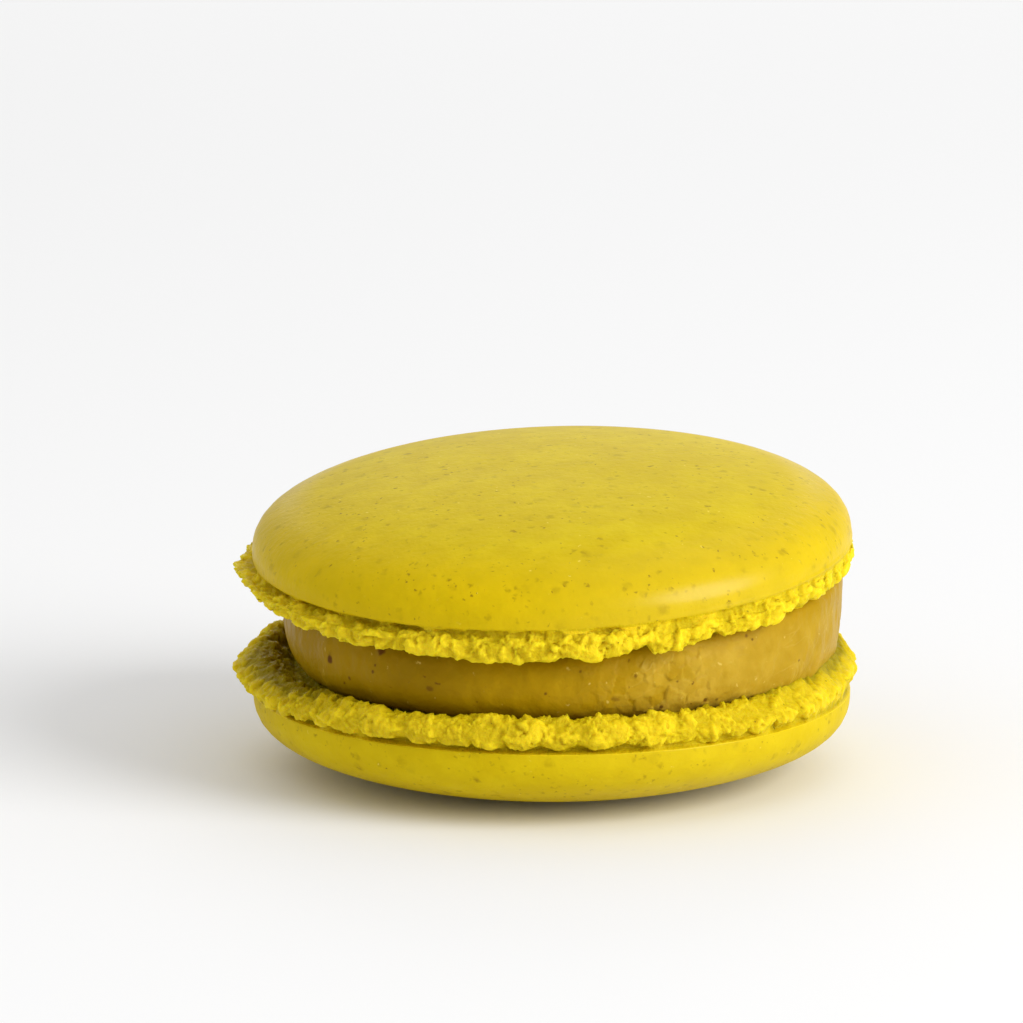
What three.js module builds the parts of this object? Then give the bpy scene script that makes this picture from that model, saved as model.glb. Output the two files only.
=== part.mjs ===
// A filled macaron: two domed almond shells with ruffled feet, and a thick layer of filling between them.
// Millimetres, +Z up. The origin is the centre of the small flat spot that the lower shell rests on,
// the front is toward -Y and the right side toward +X.

import * as THREE from "three";

const { degToRad, radToDeg } = THREE.MathUtils;

// Domes: superellipses, with a small flat cut off the lower one
const DOME_RADIUS = 21.85;
const TOP_DOME_HEIGHT = 5.5;
const BOTTOM_DOME_HEIGHT = 6.05;
const FLAT_CUT = 0.3;
const DOME_SPREAD = 2.2;
const DOME_EDGE = 2.8;

// Feet
const TOP_FOOT_HEIGHT = 2.35;
const BOTTOM_FOOT_HEIGHT = 2.45;
const CRAG_DEPTH = 0.22;
const CRAG_COUNT = 83;

// Filling
const FILLING_RADIUS = 19.95;
const FILLING_BULGE = 0.65;
const FILLING_BULGE_POWER = 0.6;
const FILLING_SHIFT = 0.7;
const CONTACT_GAP = 0.3;

// How the upper shell sits: its dome edge is this far above the lower one, and it leans
// toward the front and toward the left.
const SHELL_SPACING = 10.7;
const FRONT_LEAN = degToRad(4.5);
const SIDE_LEAN = degToRad(2.1);

// Fineness of the faceted surfaces
const SHELL_SIDES = 196;
const DOME_STEPS = 7;
const FIRST_RING = degToRad(20);
const FILLING_SIDES = 108;
const FILLING_SHARES = [0, 0.13, 0.37, 0.63, 0.87, 1];
const TURN = 2 * Math.PI;

// The outline of a foot from the lip of the dome to the middle of the underside: millimetres in from
// the dome's edge, depth as a share of the foot's height, and the share that each point takes of the
// foot's reach, of the drop of its rim and of its crags.
const FOOT_OUTLINE = [
  { inset: 0.2, depth: 0.09, reach: 0, drop: 0, crag: 0 },
  { inset: 0.7, depth: 0.17, reach: 0.1, drop: 0, crag: 0.4 },
  { inset: 0.2, depth: 0.28, reach: 0.7, drop: 0.1, crag: 0.8 },
  { inset: 0, depth: 0.47, reach: 1, drop: 0.4, crag: 1 },
  { inset: 0, depth: 0.76, reach: 1, drop: 0.8, crag: 1 },
  { inset: 0.35, depth: 1, reach: 0.9, drop: 1, crag: 0.9 },
  { inset: 1.1, depth: 0.85, reach: 0.2, drop: 0.4, crag: 0.5 },
  { inset: 1.9, depth: 1, reach: 0, drop: 0, crag: 0 },
  { inset: DOME_RADIUS, depth: 1, reach: 0, drop: 0, crag: 0 },
];

// Uneven waves round the macaron: height in millimetres, number of waves, and a seed
const REACH_WAVE = { size: 0.14, count: 16, seed: 2 };
const RIM_WAVE = { size: 0.14, count: 31, seed: 3 };
const SLOW_RIM_WAVE = { size: 0.1, count: 9, seed: 4 };
const SKIN_WAVE = { size: 0.09, count: 7, seed: 5 };
const FILLING_WAVE = { size: 0.16, count: 11, seed: 41 };
const FILLING_CREASE = { size: 0.12, count: 23, seed: 43 };
const CREASE_SLANT = 0.4;

// Places where the rim of the upper foot rises and then steps down again, seen from the front:
// where the step is, how long the rise before it is, and how high, in degrees and millimetres.
const TOP_RIM_STEPS = [
  { at: -19.6, rise: 26, height: 0.3 },
  { at: 3.5, rise: 6, height: 0.3 },
  { at: 16.9, rise: 10, height: 0.55 },
  { at: 31.7, rise: 9, height: 0.55 },
  { at: 52.2, rise: 7, height: 0.55 },
];
const STEP_FALL = 1.5;

const shellFinish = new THREE.MeshStandardMaterial({ color: 0xdcc03c, roughness: 0.62, metalness: 0 });
const fillingFinish = new THREE.MeshStandardMaterial({ color: 0xa67a1c, roughness: 0.42, metalness: 0 });

// A repeatable number between 0 and 1 for each whole number and seed.
function chance(index, seed) {
  const wave = Math.sin(index * 12.9898 + seed * 78.233) * 43758.5453;
  return wave - Math.floor(wave);
}

function smooth(value, low, high) {
  const part = Math.min(1, Math.max(0, (value - low) / (high - low)));
  return part * part * (3 - 2 * part);
}

// Place on a ring of count equal stretches: the stretch's number and the share of it passed.
function ringPlace(turn, count) {
  const place = ((((turn / TURN) % 1) + 1) % 1) * count;
  return { step: Math.floor(place) % count, part: place - Math.floor(place) };
}

// A smooth unevenness between -1 and 1 that closes on itself round the macaron.
function ripple(turn, count, seed) {
  const { step, part } = ringPlace(turn, count);
  const here = chance(step, seed);
  const next = chance((step + 1) % count, seed);
  return 2 * (here + (next - here) * smooth(part, 0, 1)) - 1;
}

function wave(turn, { size, count, seed }, shellSeed = 0) {
  return size * ripple(turn, count, seed + shellSeed);
}

// Rounded pleats of uneven width and depth with narrow creases between them, from 0 to 1.
function pleats(turn, count, seed) {
  const uneven = turn + (0.55 * ripple(turn, Math.round(count / 3), seed + 1) * TURN) / count;
  const { step, part } = ringPlace(uneven, count);
  return Math.sqrt(Math.sin(Math.PI * part)) * (0.55 + 0.45 * chance(step, seed));
}

function rimSteps(turn, steps) {
  const degrees = radToDeg(Math.atan2(Math.sin(turn), Math.cos(turn)));
  let lift = 0;
  for (const { at, rise, height } of steps) {
    lift += height * smooth(degrees, at - rise, at) * (1 - smooth(degrees, at, at + STEP_FALL));
  }
  return lift;
}

// A dome is half a superellipse, from its middle at angle 0 to its edge at a quarter turn.
function domeReach(angle) {
  return DOME_RADIUS * Math.pow(Math.sin(angle), 2 / DOME_SPREAD);
}

function domeLevel(angle, height) {
  return height * Math.pow(Math.max(0, Math.cos(angle)), 2 / DOME_EDGE);
}

// The angle at which a flat that takes this much off the dome's height ends.
function flatAngle(height, flat) {
  return Math.acos(Math.pow(1 - flat / height, DOME_EDGE / 2));
}

// Half outline of a shell, dome up, from the middle of its skin to the middle of its underside.
function shellOutline(shell) {
  const outline = [{ radius: 0, level: shell.domeHeight - shell.flat, reach: 0, drop: 0, crag: 0 }];
  const firstAngle = shell.flat > 0 ? flatAngle(shell.domeHeight, shell.flat) : FIRST_RING;
  for (let step = 0; step <= DOME_STEPS; step += 1) {
    const angle = firstAngle + ((Math.PI / 2 - firstAngle) * step) / DOME_STEPS;
    const level = domeLevel(angle, shell.domeHeight);
    outline.push({ radius: domeReach(angle), level, reach: 0, drop: 0, crag: 0 });
  }
  for (const { inset, depth, reach, drop, crag } of FOOT_OUTLINE) {
    outline.push({ radius: DOME_RADIUS - inset, level: -depth * shell.footHeight, reach, drop, crag });
  }
  return outline;
}

// How far the foot stands out past the dome.
function footReach(turn, shell) {
  const side = Math.sin(turn);
  const sideReach = side < 0 ? shell.leftReach : shell.rightReach;
  const swell = shell.frontReach + (sideReach - shell.frontReach) * side * side;
  const pleating = shell.pleatDepth * (pleats(turn, shell.pleatCount, shell.seed) - 0.75);
  return swell + pleating + wave(turn, REACH_WAVE, shell.seed);
}

// How far the rim of the foot hangs past its mean height.
function footDrop(turn, shell) {
  const side = Math.sin(turn);
  const uneven = wave(turn, RIM_WAVE, shell.seed) + wave(turn, SLOW_RIM_WAVE, shell.seed);
  return uneven - shell.sideLift * side * side - rimSteps(turn, shell.rimSteps);
}

// Slow unevenness of the baked skin, nil on the flat spot and near the dome's edge.
function skinSwell(radius, turn, shell) {
  const flatRadius = domeReach(flatAngle(shell.domeHeight, shell.flat));
  const past = smooth(radius, flatRadius, flatRadius + 6);
  const within = 1 - smooth(radius, DOME_RADIUS - 5, DOME_RADIUS);
  return past * within * wave(turn, SKIN_WAVE, shell.seed);
}

function makeShell(name, shell) {
  const facing = shell.domeUp ? 1 : -1;
  const rows = shellOutline(shell);
  if (shell.domeUp) rows.reverse();
  const profile = rows.map((row) => new THREE.Vector2(row.radius, facing * row.level));
  const geometry = new THREE.LatheGeometry(profile, SHELL_SIDES);
  geometry.rotateX(Math.PI / 2);
  const position = geometry.attributes.position;
  for (let index = 0; index < position.count; index += 1) {
    const rowNumber = index % rows.length;
    const row = rows[rowNumber];
    const turn = ((Math.floor(index / rows.length) % SHELL_SIDES) * TURN) / SHELL_SIDES;
    const outCrag = { size: CRAG_DEPTH * row.crag, count: CRAG_COUNT, seed: 6 + rowNumber };
    const downCrag = { size: 0.5 * CRAG_DEPTH * row.crag, count: CRAG_COUNT, seed: 30 + rowNumber };
    const radius = row.radius + row.reach * footReach(turn, shell) + wave(turn, outCrag, shell.seed);
    let level = row.level - row.drop * footDrop(turn, shell) + wave(turn, downCrag, shell.seed);
    if (row.level > 0) level += skinSwell(row.radius, turn, shell);
    position.setXYZ(index, radius * Math.sin(turn), -radius * Math.cos(turn), facing * level);
  }
  const mesh = new THREE.Mesh(geometry, shellFinish);
  mesh.name = name;
  return mesh;
}

// A slightly bulging disc whose top is cut parallel to the leaning upper shell.
function makeFilling(name, bottom, topCentre, topNormal) {
  const profile = [new THREE.Vector2(0, 0)];
  for (const share of FILLING_SHARES) profile.push(new THREE.Vector2(FILLING_RADIUS, share));
  profile.push(new THREE.Vector2(0, 1));
  const geometry = new THREE.LatheGeometry(profile, FILLING_SIDES);
  geometry.rotateX(Math.PI / 2);
  const position = geometry.attributes.position;
  for (let index = 0; index < position.count; index += 1) {
    const { x: reach, y: share } = profile[index % profile.length];
    const turn = ((Math.floor(index / profile.length) % FILLING_SIDES) * TURN) / FILLING_SIDES;
    const belly = FILLING_BULGE * Math.pow(4 * share * (1 - share), FILLING_BULGE_POWER);
    const uneven = wave(turn, FILLING_WAVE) + wave(turn + CREASE_SLANT * share, FILLING_CREASE);
    const radius = reach === 0 ? 0 : reach + belly + uneven;
    const x = FILLING_SHIFT + radius * Math.sin(turn);
    const y = -radius * Math.cos(turn);
    const top = topCentre - (topNormal.x * x + topNormal.y * y) / topNormal.z;
    position.setXYZ(index, x, y, bottom + (top - bottom) * share);
  }
  const mesh = new THREE.Mesh(geometry, fillingFinish);
  mesh.name = name;
  return mesh;
}

const macaron = new THREE.Group();

const lowerEdge = BOTTOM_DOME_HEIGHT - FLAT_CUT;
const lowerShell = makeShell("shell_bottom", {
  domeUp: false,
  domeHeight: BOTTOM_DOME_HEIGHT,
  flat: FLAT_CUT,
  footHeight: BOTTOM_FOOT_HEIGHT,
  frontReach: 0.3,
  leftReach: 1.15,
  rightReach: 0.65,
  sideLift: 0,
  rimSteps: [],
  pleatCount: 34,
  pleatDepth: 0.7,
  seed: 11,
});
lowerShell.position.set(0, 0, lowerEdge);
macaron.add(lowerShell);

const upperSeat = new THREE.Group();
upperSeat.position.set(0, 0, lowerEdge + SHELL_SPACING);
upperSeat.rotation.set(FRONT_LEAN, -SIDE_LEAN, 0);
const upperShell = makeShell("shell_top", {
  domeUp: true,
  domeHeight: TOP_DOME_HEIGHT,
  flat: 0,
  footHeight: TOP_FOOT_HEIGHT,
  frontReach: 0.4,
  leftReach: 0.95,
  rightReach: 0.2,
  sideLift: 0.75,
  rimSteps: TOP_RIM_STEPS,
  pleatCount: 42,
  pleatDepth: 0.5,
  seed: 23,
});
upperSeat.add(upperShell);
macaron.add(upperSeat);

const upperNormal = new THREE.Vector3(0, 0, 1).applyEuler(upperSeat.rotation);
const undersideCentre = upperSeat.position.z - (TOP_FOOT_HEIGHT + CONTACT_GAP) / upperNormal.z;
const fillingBottom = lowerEdge + BOTTOM_FOOT_HEIGHT + CONTACT_GAP;
macaron.add(makeFilling("filling", fillingBottom, undersideCentre, upperNormal));

export default macaron;
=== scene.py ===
"""A filled macaron: fine meshes and finishes for both almond shells and the filling."""

import math

import bmesh
import bpy
import numpy as np
from mathutils import Euler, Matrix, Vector


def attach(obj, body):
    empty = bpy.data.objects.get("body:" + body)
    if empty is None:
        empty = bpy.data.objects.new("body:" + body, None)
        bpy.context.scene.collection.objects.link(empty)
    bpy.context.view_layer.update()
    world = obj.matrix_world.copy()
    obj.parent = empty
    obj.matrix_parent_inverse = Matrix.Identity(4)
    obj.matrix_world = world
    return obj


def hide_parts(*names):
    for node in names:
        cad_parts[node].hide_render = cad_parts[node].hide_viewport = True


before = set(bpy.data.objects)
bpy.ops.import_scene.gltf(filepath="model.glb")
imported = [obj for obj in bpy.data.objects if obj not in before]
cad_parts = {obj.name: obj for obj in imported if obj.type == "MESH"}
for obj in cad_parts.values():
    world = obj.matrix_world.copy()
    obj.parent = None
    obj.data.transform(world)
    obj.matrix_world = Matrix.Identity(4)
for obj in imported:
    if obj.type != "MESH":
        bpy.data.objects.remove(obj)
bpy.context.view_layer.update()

# Shapes are worked out in millimetres, like the solids, and become metres as a mesh is made.
MM = 0.001
TURN = 2 * math.pi

# Domes
DOME_RADIUS = 21.85
TOP_DOME_HEIGHT = 5.6
BOTTOM_DOME_HEIGHT = 6.05
FLAT_CUT = 0.3
DOME_SPREAD = 2.2
DOME_EDGE = 2.8

# Feet
TOP_FOOT_HEIGHT = 2.35
BOTTOM_FOOT_HEIGHT = 2.45

# Filling
FILLING_RADIUS = 20.3
FILLING_UNDERCUT = 1.9
FILLING_ROUND_SHARE = 0.55
FILLING_EDGE = 0.4
FILLING_EDGE_START = 0.9
FILLING_SHIFT = 0.85
FILLING_SINK = 0.25
FILLING_DIP = 0.8

# Places where the top of the filling stands back: place and half width in degrees, amount
FILLING_TUCKS = ((-12, 95, 1.1),)
TUCK_START = 0.5

# Swells of the paste: size, height and seed of each layer, in millimetres
PASTE_SWELLS = ((4.5, 0.18, 61), (1.7, 0.12, 62), (0.8, 0.06, 63), (0.35, 0.02, 64))
PASTE_STRETCH = 0.6

# Painted light and shade of the paste round the macaron: paler where it is lit on the right, below 0
# where painted shade darkens it at the front left, and how dark the painted shade is where it meets the
# upper foot
PASTE_LIGHT_AND_SHADE = ((30, 38, 0.7), (66, 55, 0.5), (-32, 20, -0.85), (-66, 30, -0.5))
CONTACT_SHADE = 0.45
CONTACT_SHADE_SHARES = (0.76, 0.92)

# Smeared patch of the paste: its place and half width in degrees and its share, and the size, slant
# and step of its facets in millimetres
SMEARED = ((21, 22, 1.0),)
SMEAR_FACETS = (0.9, 0.15, 0.05)
SMEAR_SEED = 65
SMEAR_TONE = 0.4
SMEAR_END = (0.75, 0.95)

# Dark flecks in front: place in degrees, height as a share of the paste's, half width and half height
# in millimetres, strength
FRONT_FLECKS = (
    (-55, 0.55, 0.26, 0.36, 1.0), (-40, 0.84, 0.42, 0.28, 1.0), (-41, 0.64, 0.12, 0.12, 0.9),
    (-41.5, 0.55, 0.13, 0.13, 0.9), (-49, 0.36, 0.15, 0.15, 0.8), (-28, 0.43, 0.26, 0.2, 0.6),
    (-4, 0.45, 0.11, 0.11, 0.8), (10, 0.34, 0.34, 0.18, 0.5), (14, 0.63, 0.13, 0.11, 0.8),
    (20, 0.18, 0.15, 0.15, 0.9), (30, 0.20, 0.20, 0.16, 0.9), (33, 0.19, 0.16, 0.14, 0.6),
    (40, 0.87, 0.16, 0.16, 0.7), (-18, 0.30, 0.10, 0.10, 0.6), (3, 0.72, 0.10, 0.10, 0.6),
)

# Flecks behind: how many, and where they begin and how far round they go in degrees
BACK_FLECK_COUNT = 26
BACK_FLECK_START = 75
BACK_FLECK_RANGE = 210

# Lobes that hang over the groove of the lower foot
LOBE_COUNT = 52
LOBE_HANG = 0.65
LOBE_MIDDLE = 0.45
LOBE_SWAY = (0.12, 19, 8)

# How the upper shell sits on the filling
SHELL_SPACING = 10.7
FRONT_LEAN = math.radians(4.5)
SIDE_LEAN = math.radians(2.1)

# Fineness of the meshes
DOME_COLUMNS = 400
FOOT_COLUMNS = 3 * DOME_COLUMNS
DOME_ROWS = 36
FOOT_STEP = 0.11
UNDERSIDE_COLUMNS = FOOT_COLUMNS // 4
UNDERSIDE_INSET = 0.6
FILLING_COLUMNS = 1400
FILLING_ROWS = 60

# Beyond this distance from the dome's edge every second row of a foot is left out
INNER_INSET = 2.4

# Fine rows of the skin along the lip of a dome
LIP_STEP = 0.1
LIP_ROWS = 10

# Each foot's outline, from the lip of the dome to the underside: millimetres in from the dome's edge,
# depth as a share of the foot's height, and the share taken of the reach, rim drop, crumb and hang.
TOP_FOOT_OUTLINE = np.array([
    (0.0, 0.0, 0, 0, 0, 0),
    (0.25, 0.05, 0, 0, 0.1, 0),
    (0.9, 0.13, 0, 0, 0.6, 0),
    (0.85, 0.22, 0.2, 0, 0.8, 0),
    (0.15, 0.34, 0.8, 0.1, 0.9, 0),
    (0.0, 0.47, 1, 0.4, 1, 0),
    (0.0, 0.76, 1, 0.8, 1, 0),
    (0.25, 1.0, 0.95, 1, 0.7, 0),
    (1.1, 0.85, 0.2, 0.4, 0.9, 0),
    (1.9, 1.0, 0, 0, 0.5, 0),
    (2.6, 1.0, 0, 0, 0, 0),
])
BOTTOM_FOOT_OUTLINE = np.array([
    (0.0, 0.0, 0, 0, 0, 0),
    (0.2, 0.03, 0, 0, 0, 0),
    (0.6, 0.07, 0, 0, 0.1, 0),
    (0.75, 0.15, 0, 0, 0.3, 0.3),
    (0.5, 0.22, 0.3, 0.1, 0.6, 0.8),
    (0.05, 0.28, 0.9, 0.3, 0.8, 1),
    (-0.15, 0.42, 1, 0.4, 1, 0.5),
    (0.0, 0.60, 1, 0.5, 1, 0.1),
    (0.3, 0.78, 0.9, 0.7, 1, 0),
    (0.7, 0.88, 0.7, 0.8, 1.1, 0),
    (1.2, 0.86, 0.5, 0.8, 1.2, 0),
    (1.8, 0.70, 0.3, 0.5, 1.4, 0),
    (2.6, 0.60, 0, 0, 1.5, 0),
    (3.6, 0.64, 0, 0, 1.4, 0),
    (4.4, 0.72, 0, 0, 1.0, 0),
    (5.0, 1.0, 0, 0, 0, 0),
])

# Uneven waves round the macaron: height in millimetres, number of waves, seed
REACH_WAVE = (0.14, 16, 2)
RIM_WAVE = (0.14, 31, 3)
SLOW_RIM_WAVE = (0.1, 9, 4)
SKIN_WAVE = (0.09, 7, 5)
FILLING_WAVE = (0.16, 11, 41)
FILLING_CREASE = (0.12, 23, 43)
CREASE_SLANT = 0.4

# Where the rim of the upper foot rises and steps down again: place and rise in degrees, height
TOP_RIM_STEPS = (
    (-19.6, 26, 0.3),
    (3.5, 6, 0.3),
    (16.9, 10, 0.55),
    (31.7, 9, 0.55),
    (52.2, 7, 0.55),
)
STEP_FALL = 1.5

# The share of a pleat's depth at which the foot keeps its usual reach
PLEAT_MIDDLE = 0.75

# Places where a foot sticks out or stands back, and where its rim stands higher: place and
# half width in degrees, amount
TOP_TIPS = ((-88, 8, 0.5), (-122, 24, -0.8))
BOTTOM_TIPS = ((-90, 16, 0.6), (-128, 22, -0.4), (104, 40, 0.35))
BOTTOM_RISES = (
    (-120, 34, 0.6), (-104, 34, 0.9), (-50, 22, 0.1), (0, 115, 0.2),
    (62, 40, 0.45), (84, 52, 1.45), (112, 40, 0.4),
)

# Places where the lower foot slopes in toward the filling: place and half width in degrees, amount,
# and the slope's ends as a share of the foot's height and in millimetres from the dome's edge
BOTTOM_SLOPES = ((66, 52, 1.3), (-76, 50, 1.2))
SLOPE_DEPTH = (0.3, 0.85)
SLOPE_INSET = (0.8, 4.4)

# Places where painted shade makes that slope a deeper olive, listed in the same way
BOTTOM_SHADED = ((-74, 50, 0.8), (86, 48, 0.9))

# Place where the rim of a dome is glossier, listed in the same way
GLOSSY_RIM = ((28, 52, 1.0),)

# The rim of a dome, as shares of its radius
RIM_START = 0.68
RIM_FULL = 0.95

# Painted olive shade in the trough, on the shaded slope and in the groove of a foot: ends in millimetres
# from the dome's edge, how deep down the foot they lie as a share of its height, and how much each takes
# from the tone
TROUGH_INSET = (0.8, 2.1)
TROUGH_DEPTH = 0.5
TROUGH_TONE = 0.7
SHADED_INSET = (0.2, 1.2)
RECESS_INSET = (0.3, 0.85)
RECESS_DEPTH = 0.3
RECESS_TONE = 0.35
RIDGE_LOSS = 0.6

# Fine raised bead along the lip of the upper dome: place and half width in degrees, height, and the
# levels between which it rises and falls again
LIP_BEADS = ((62, 55, 0.08),)
BEAD_RISE = (0, 0.1)
BEAD_FALL = (0.14, 0.32)

# Row of peaks behind the lobes of the lower foot: place and half width in degrees, height
BACK_PEAKS = ((0, 55, 0.3), (-50, 20, 0.1))
BACK_PEAK_INSET = 1.2
BACK_PEAK_WIDTH = 0.8
BACK_PEAK_DEPTH = 0.7

# Places where the groove under the lip is nearly filled: place and half width in degrees, share
TOP_FILLED = ((62, 80, 1.6), (-8, 24, 0.6), (-75, 14, 0.6))
BOTTOM_FILLED = ((-78, 40, 0.85), (70, 45, 0.85), (28, 22, 0.5))
GROOVE_BRIDGES = (0.8, 74, 9)
GROOVE_DEPTH = (0.25, 0.6)
GROOVE_WIDTH = 1.3
MOST_FILLED = 0.92
FILLED_REACH_LOSS = 0.6
FILLED_CRUMB = 0.45
FILLED_CRUMB_DEPTH = 0.08

# Places where the crumb is flatter, listed in the same way
TOP_CALM = ((85, 35, 0.35), (-95, 30, 0.2))
BOTTOM_CALM = ((80, 50, 0.45), (-80, 35, 0.2), (-30, 30, 0.2))

# The broken, bubbly surface of a foot: size, height and seed of each layer, in millimetres
LUMPS = (1.8, 0.18, 1)
BUBBLES = ((1.0, 0.14, 2), (0.48, 0.09, 3))
BURST_SHARE = 0.75
FLAKES = (1.0, 0.20, 4)
FLAKE_SLANT = 1.3
FLAKE_STEP = 0.6
MEMBRANES = ((0.9, 0.12, 5), (0.42, 0.06, 6))
MEMBRANE_WIDTH = 0.26
PORES = (0.65, 0.20, 7)
PORE_SHARE = 0.5
PORE_RIM = 0.35
TEETH = (0.28, 0.045, 8)
CRUMB_LIMIT = 0.30
CRUMB_WARP = 0.35
CRUMB_WARP_SIZE = 1.2

TOP_SHELL = {
    "dome_up": True, "dome_height": TOP_DOME_HEIGHT, "flat": 0, "foot_height": TOP_FOOT_HEIGHT,
    "front_reach": 0.4, "left_reach": 0.95, "right_reach": 0.1, "left_lift": 1.25, "right_lift": 0.75,
    "rim_steps": TOP_RIM_STEPS, "pleat_count": 42, "pleat_depth": 0.3, "seed": 23,
    "outline": TOP_FOOT_OUTLINE, "tips": TOP_TIPS, "rises": (),
    "filled": TOP_FILLED, "calm": TOP_CALM, "back_peaks": (),
    "slopes": (), "shaded": (), "lip_beads": LIP_BEADS,
    # The key after crumb_light sets how much painted shade darkens the rim of the dome
    "crumb_light": 1.0, "rim_shade": 1.0, "gloss": 1.0,
}
BOTTOM_SHELL = {
    "dome_up": False, "dome_height": BOTTOM_DOME_HEIGHT, "flat": FLAT_CUT,
    "foot_height": BOTTOM_FOOT_HEIGHT, "front_reach": 0.3, "left_reach": 1.15, "right_reach": 0.25,
    "left_lift": 0, "right_lift": 0, "rim_steps": (), "pleat_count": 34, "pleat_depth": 0.22,
    "seed": 11, "outline": BOTTOM_FOOT_OUTLINE, "tips": BOTTOM_TIPS,
    "rises": BOTTOM_RISES, "filled": BOTTOM_FILLED, "calm": BOTTOM_CALM,
    "back_peaks": BACK_PEAKS, "slopes": BOTTOM_SLOPES, "shaded": BOTTOM_SHADED, "lip_beads": (),
    # crumb_light below 1 keeps the lower foot's ridges darker, as painted shade
    "crumb_light": 0.7, "rim_shade": 0.2, "gloss": 0.5,
}
LOWER_EDGE = BOTTOM_DOME_HEIGHT - FLAT_CUT

# Camera, in metres and degrees, with its lens in millimetres
CAMERA_DISTANCE = 0.450
CAMERA_HEIGHT_ANGLE = 13.8
CAMERA_DROP = 2.335
CAMERA_SIDE = -0.00294
CAMERA_LENS = 215.4

# Lights, in metres and watts: name, place, size, power
LIGHTS = (
    ("key", (0.785, -0.453, 0.433), 0.7, 8.6),
    ("back", (0.0, 0.94, 0.35), 0.6, 1.1),
)
LIGHT_TARGET = (0, 0, 0.01)
STUDIO_STRENGTH = 0.72

# Floor, with half its width in metres
FLOOR_HALF = 4.0
FLOOR_WHITE = (0.9, 0.9, 0.9, 1)


# Numbers that repeat


def chance(index, seed):
    """A repeatable number between 0 and 1 for each whole number and seed."""
    waved = np.sin(index * 12.9898 + seed * 78.233) * 43758.5453
    return waved - np.floor(waved)


def smooth(value, low, high):
    part = np.clip((value - low) / (high - low), 0, 1)
    return part * part * (3 - 2 * part)


def ring_place(turn, count):
    place = np.mod(turn / TURN, 1) * count
    whole = np.floor(place)
    return np.mod(whole, count), place - whole


def ripple(turn, count, seed):
    """A smooth unevenness between -1 and 1 that closes on itself round the macaron."""
    step, part = ring_place(turn, count)
    here = chance(step, seed)
    after = chance(np.mod(step + 1, count), seed)
    return 2 * (here + (after - here) * smooth(part, 0, 1)) - 1


def wave(turn, kind, shell_seed=0):
    size, count, seed = kind
    return size * ripple(turn, count, seed + shell_seed)


def pleats(turn, count, seed):
    """Rounded pleats of uneven width and depth with narrow creases, from 0 to 1."""
    uneven = turn + 0.55 * ripple(turn, round(count / 3), seed + 1) * TURN / count
    step, part = ring_place(uneven, count)
    return np.sqrt(np.sin(np.pi * np.clip(part, 0, 1)).clip(0)) * (0.55 + 0.45 * chance(step, seed))


def rim_steps(turn, steps):
    degrees = np.degrees(np.arctan2(np.sin(turn), np.cos(turn)))
    lift = np.zeros_like(degrees)
    for at, rise, height in steps:
        lift += height * smooth(degrees, at - rise, at) * (1 - smooth(degrees, at, at + STEP_FALL))
    return lift


def cell_chance(cells, seed):
    """Three repeatable numbers between 0 and 1 for each lattice cell."""
    whole = cells.astype(np.int64)
    mixed = whole[:, 0] * 73856093 ^ whole[:, 1] * 19349663 ^ whole[:, 2] * 83492791 ^ seed * 2654435761
    found = []
    for _ in range(3):
        mixed = (mixed * 1103515245 + 12345) & 0x7FFFFFFF
        mixed = mixed ^ (mixed >> 13)
        found.append((mixed & 0xFFFFFF) / 0xFFFFFF)
    return np.stack(found, 1)


def soft_noise(points, size, seed):
    """Smooth noise in three channels, each between -1 and 1."""
    scaled = points / size
    base = np.floor(scaled)
    part = scaled - base
    part = part * part * (3 - 2 * part)
    total = np.zeros((len(points), 3))
    for corner in np.ndindex(2, 2, 2):
        weight = np.prod(np.where(np.array(corner), part, 1 - part), axis=1)
        total += weight[:, None] * cell_chance(base + np.array(corner), seed)
    return 2 * total - 1


def crumb_cells(points, size, seed):
    """For irregular cells of that size: nearness to the cell's middle, distance to its edge,
    a flake's slant and step, and three numbers of chance for the cell, each as an array."""
    scaled = points / size
    base = np.floor(scaled)
    count = len(points)
    nearest = np.full(count, 9.0)
    second = np.full(count, 9.0)
    away = np.zeros((count, 3))
    cell = np.zeros((count, 3))
    for corner in np.ndindex(3, 3, 3):
        here = base + np.array(corner) - 1
        towards = scaled - (here + cell_chance(here, seed))
        distance = np.sqrt((towards ** 2).sum(1))
        closer = distance < nearest
        second = np.where(closer, nearest, np.minimum(second, distance))
        nearest = np.where(closer, distance, nearest)
        away[closer] = towards[closer]
        cell[closer] = here[closer]
    tilt = 2 * cell_chance(cell, seed + 50) - 1
    chosen = cell_chance(cell, seed + 90)
    return nearest, second - nearest, (tilt * away).sum(1), 2 * chosen[:, 0] - 1, chosen


# Outlines of a shell


def dome_reach(angle):
    return DOME_RADIUS * np.sin(angle) ** (2 / DOME_SPREAD)


def dome_level(angle, height):
    return height * np.clip(np.cos(angle), 0, 1) ** (2 / DOME_EDGE)


def flat_angle(height, flat):
    return math.acos((1 - flat / height) ** (DOME_EDGE / 2))


def even_steps(points, spacing):
    """The same polyline with points at an even spacing."""
    gaps = np.hypot(*np.diff(points[:, :2], axis=0).T)
    along = np.concatenate([[0], np.cumsum(gaps)])
    wanted = np.linspace(0, along[-1], max(2, round(along[-1] / spacing) + 1))
    return np.stack([np.interp(wanted, along, column) for column in points.T], 1)


def rounded(points, parts=12):
    """A smooth curve through the points (Catmull-Rom)."""
    ends = np.vstack([2 * points[0] - points[1], points, 2 * points[-1] - points[-2]])
    share = np.linspace(0, 1, parts, endpoint=False)[:, None]
    pieces = []
    for before, start, stop, after in zip(ends, ends[1:], ends[2:], ends[3:]):
        pieces.append(0.5 * (2 * start + (stop - before) * share
                             + (2 * before - 5 * start + 4 * stop - after) * share ** 2
                             + (3 * start - before - 3 * stop + after) * share ** 3))
    return np.vstack(pieces + [points[-1:]])


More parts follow.
